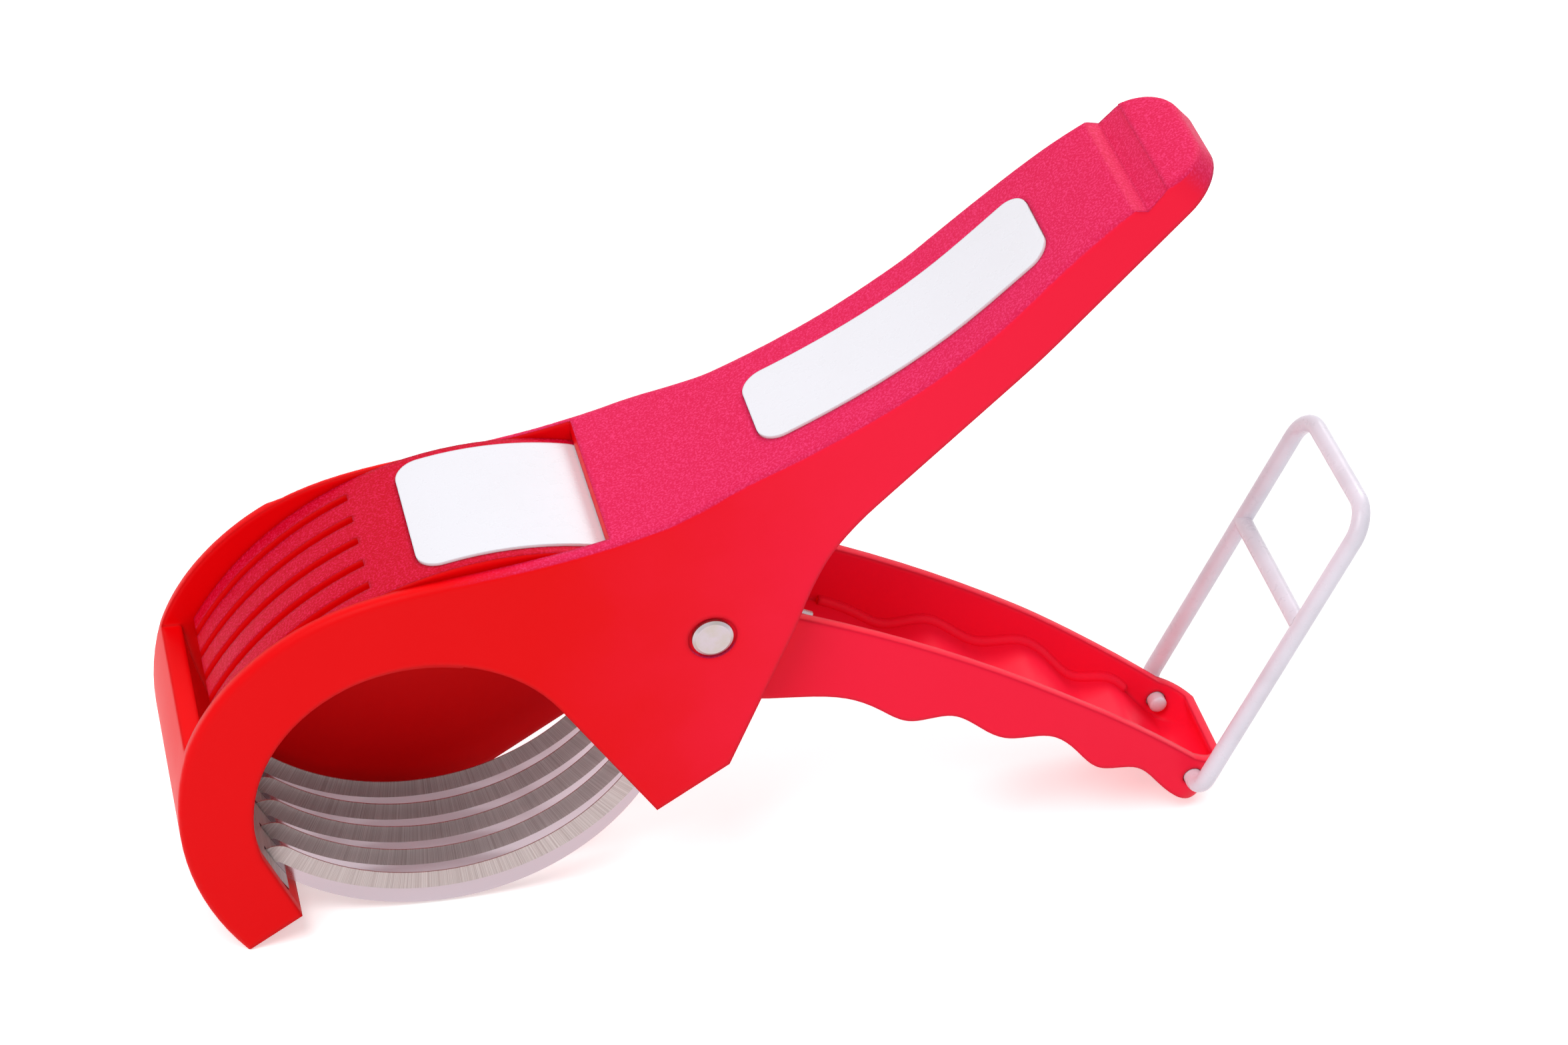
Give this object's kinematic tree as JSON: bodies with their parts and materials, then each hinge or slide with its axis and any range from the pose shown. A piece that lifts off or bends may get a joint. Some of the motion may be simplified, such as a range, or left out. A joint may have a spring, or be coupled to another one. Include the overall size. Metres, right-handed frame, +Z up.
{
  "type": "egg_slicer",
  "caption": "Red plier-style egg slicer: squeezing the handles drives a slotted presser comb down through a row of curved steel blades; a white wire loop locks it shut.",
  "frame": {"origin": "bottom centre of the whole tool, level with the flat under its front hook", "axes": "+X towards the handle tail, +Y away from the open window side, +Z up"},
  "size_m": [0.242, 0.047, 0.1584],
  "materials": {
    "red_plastic": "fine grained on top, smoother on the sides",
    "white_plastic": "smooth, half gloss",
    "white_coating": "dipped coating over steel wire",
    "blade_steel": "ground bevels, polished below",
    "pin_steel": "turned, bright"
  },
  "bodies": {
    "frame": {"main_frame": "red_plastic", "handle_inlay": "white_plastic", "blade_strip": "blade_steel", "blade_1": "blade_steel", "blade_2": "blade_steel", "blade_3": "blade_steel", "blade_4": "blade_steel", "blade_5": "blade_steel", "pivot_pin": "pin_steel", "pin_washer": "pin_steel"},
    "lever": {"squeeze_lever": "red_plastic", "presser_inlay": "white_plastic", "return_spring": "pin_steel"},
    "bail": {"lock_bail": "white_coating", "bail_crossbar": "white_coating"}
  },
  "joints": [
    {"name": "lever_pivot", "type": "hinge", "parent": "frame", "child": "lever", "pos_m": [-0.01583, 0, 0.0655], "axis": [0, -1, 0], "range_deg": [0, 47.5], "stiffness_Nm_per_rad": 0.55, "springref_deg": -25.78, "deforming": ["return_spring"]},
    {"name": "bail_swing", "type": "hinge", "parent": "lever", "child": "bail", "pos_m": [0.08977, 0, 0.0093], "axis": [0, -1, 0], "range_deg": [-66, 4.3]}
  ]
}
